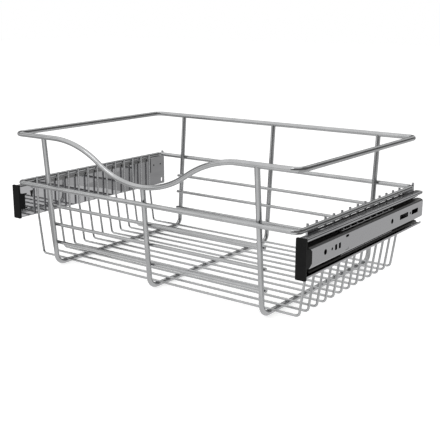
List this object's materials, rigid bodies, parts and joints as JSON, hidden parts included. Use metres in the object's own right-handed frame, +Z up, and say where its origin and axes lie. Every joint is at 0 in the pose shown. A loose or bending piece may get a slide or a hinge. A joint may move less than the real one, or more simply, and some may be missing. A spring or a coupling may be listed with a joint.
{
  "type": "pull-out wire basket",
  "caption": "Pull-out wire basket for a kitchen cabinet, with a scooped front rim, on full-extension ball-bearing slides.",
  "frame": {"origin": "centre of the footprint, on the surface that the basket stands on, with the basket shut", "axes": "+X to the right seen from the front, +Y to the back of the cabinet, +Z up; the basket pulls out along -Y"},
  "size_m": [0.469, 0.3082, 0.1826],
  "materials": {
    "wire": "plated round wire, bright with a soft sheen",
    "rail_steel": "zinc-plated sheet, satin",
    "retainer_steel": "thin zinc-plated sheet",
    "ball_steel": "polished bearing balls",
    "cap_plastic": "black moulded plastic, fine satin"
  },
  "bodies": {
    "cabinet_side": {"left_cabinet_rail": "rail_steel", "left_stop": "cap_plastic", "right_cabinet_rail": "rail_steel", "right_stop": "cap_plastic"},
    "basket": {"top_rim": "wire", "mid_ring": "wire", "left_frame": "wire", "middle_frame": "wire", "right_frame": "wire", "front_wire_upper": "wire", "front_wire_middle": "wire", "front_wire_lower": "wire", "back_wire_upper": "wire", "back_wire_middle": "wire", "back_wire_lower": "wire", "cross_wire_01": "wire", "cross_wire_02": "wire", "cross_wire_03": "wire", "cross_wire_04": "wire", "cross_wire_05": "wire", "cross_wire_06": "wire", "cross_wire_07": "wire", "cross_wire_08": "wire", "cross_wire_09": "wire", "cross_wire_10": "wire", "cross_wire_11": "wire", "cross_wire_12": "wire", "cross_wire_13": "wire", "left_basket_rail": "rail_steel", "right_basket_rail": "rail_steel", "left_front_lug": "rail_steel", "left_rear_lug": "rail_steel", "left_carrier_strip": "rail_steel", "left_end_cap": "cap_plastic", "right_front_lug": "rail_steel", "right_rear_lug": "rail_steel", "right_carrier_strip": "rail_steel", "right_end_cap": "cap_plastic"},
    "left_middle": {"left_middle_rail": "rail_steel"},
    "left_outer_cage": {"left_outer_retainer": "retainer_steel", "left_outer_balls": "ball_steel"},
    "left_inner_cage": {"left_inner_retainer": "retainer_steel", "left_inner_balls": "ball_steel"},
    "right_middle": {"right_middle_rail": "rail_steel"},
    "right_outer_cage": {"right_outer_retainer": "retainer_steel", "right_outer_balls": "ball_steel"},
    "right_inner_cage": {"right_inner_retainer": "retainer_steel", "right_inner_balls": "ball_steel"}
  },
  "joints": [
    {"name": "basket_slide", "type": "slide", "parent": "cabinet_side", "child": "basket", "axis": [0, -1, 0], "range_m": [0, 0.3]},
    {"name": "left_middle_slide", "type": "slide", "parent": "cabinet_side", "child": "left_middle", "axis": [0, -1, 0], "range_m": [0, 0.15]},
    {"name": "left_outer_cage_slide", "type": "slide", "parent": "cabinet_side", "child": "left_outer_cage", "axis": [0, -1, 0], "range_m": [0, 0.225]},
    {"name": "left_inner_cage_slide", "type": "slide", "parent": "cabinet_side", "child": "left_inner_cage", "axis": [0, -1, 0], "range_m": [0, 0.075]},
    {"name": "right_middle_slide", "type": "slide", "parent": "cabinet_side", "child": "right_middle", "axis": [0, -1, 0], "range_m": [0, 0.15]},
    {"name": "right_outer_cage_slide", "type": "slide", "parent": "cabinet_side", "child": "right_outer_cage", "axis": [0, -1, 0], "range_m": [0, 0.225]},
    {"name": "right_inner_cage_slide", "type": "slide", "parent": "cabinet_side", "child": "right_inner_cage", "axis": [0, -1, 0], "range_m": [0, 0.075]}
  ],
  "couplings": [
    {"joint": "left_middle_slide", "follows": "basket_slide", "ratio": 0.5},
    {"joint": "left_outer_cage_slide", "follows": "basket_slide", "ratio": 0.75},
    {"joint": "left_inner_cage_slide", "follows": "basket_slide", "ratio": 0.25},
    {"joint": "right_middle_slide", "follows": "basket_slide", "ratio": 0.5},
    {"joint": "right_outer_cage_slide", "follows": "basket_slide", "ratio": 0.75},
    {"joint": "right_inner_cage_slide", "follows": "basket_slide", "ratio": 0.25}
  ]
}
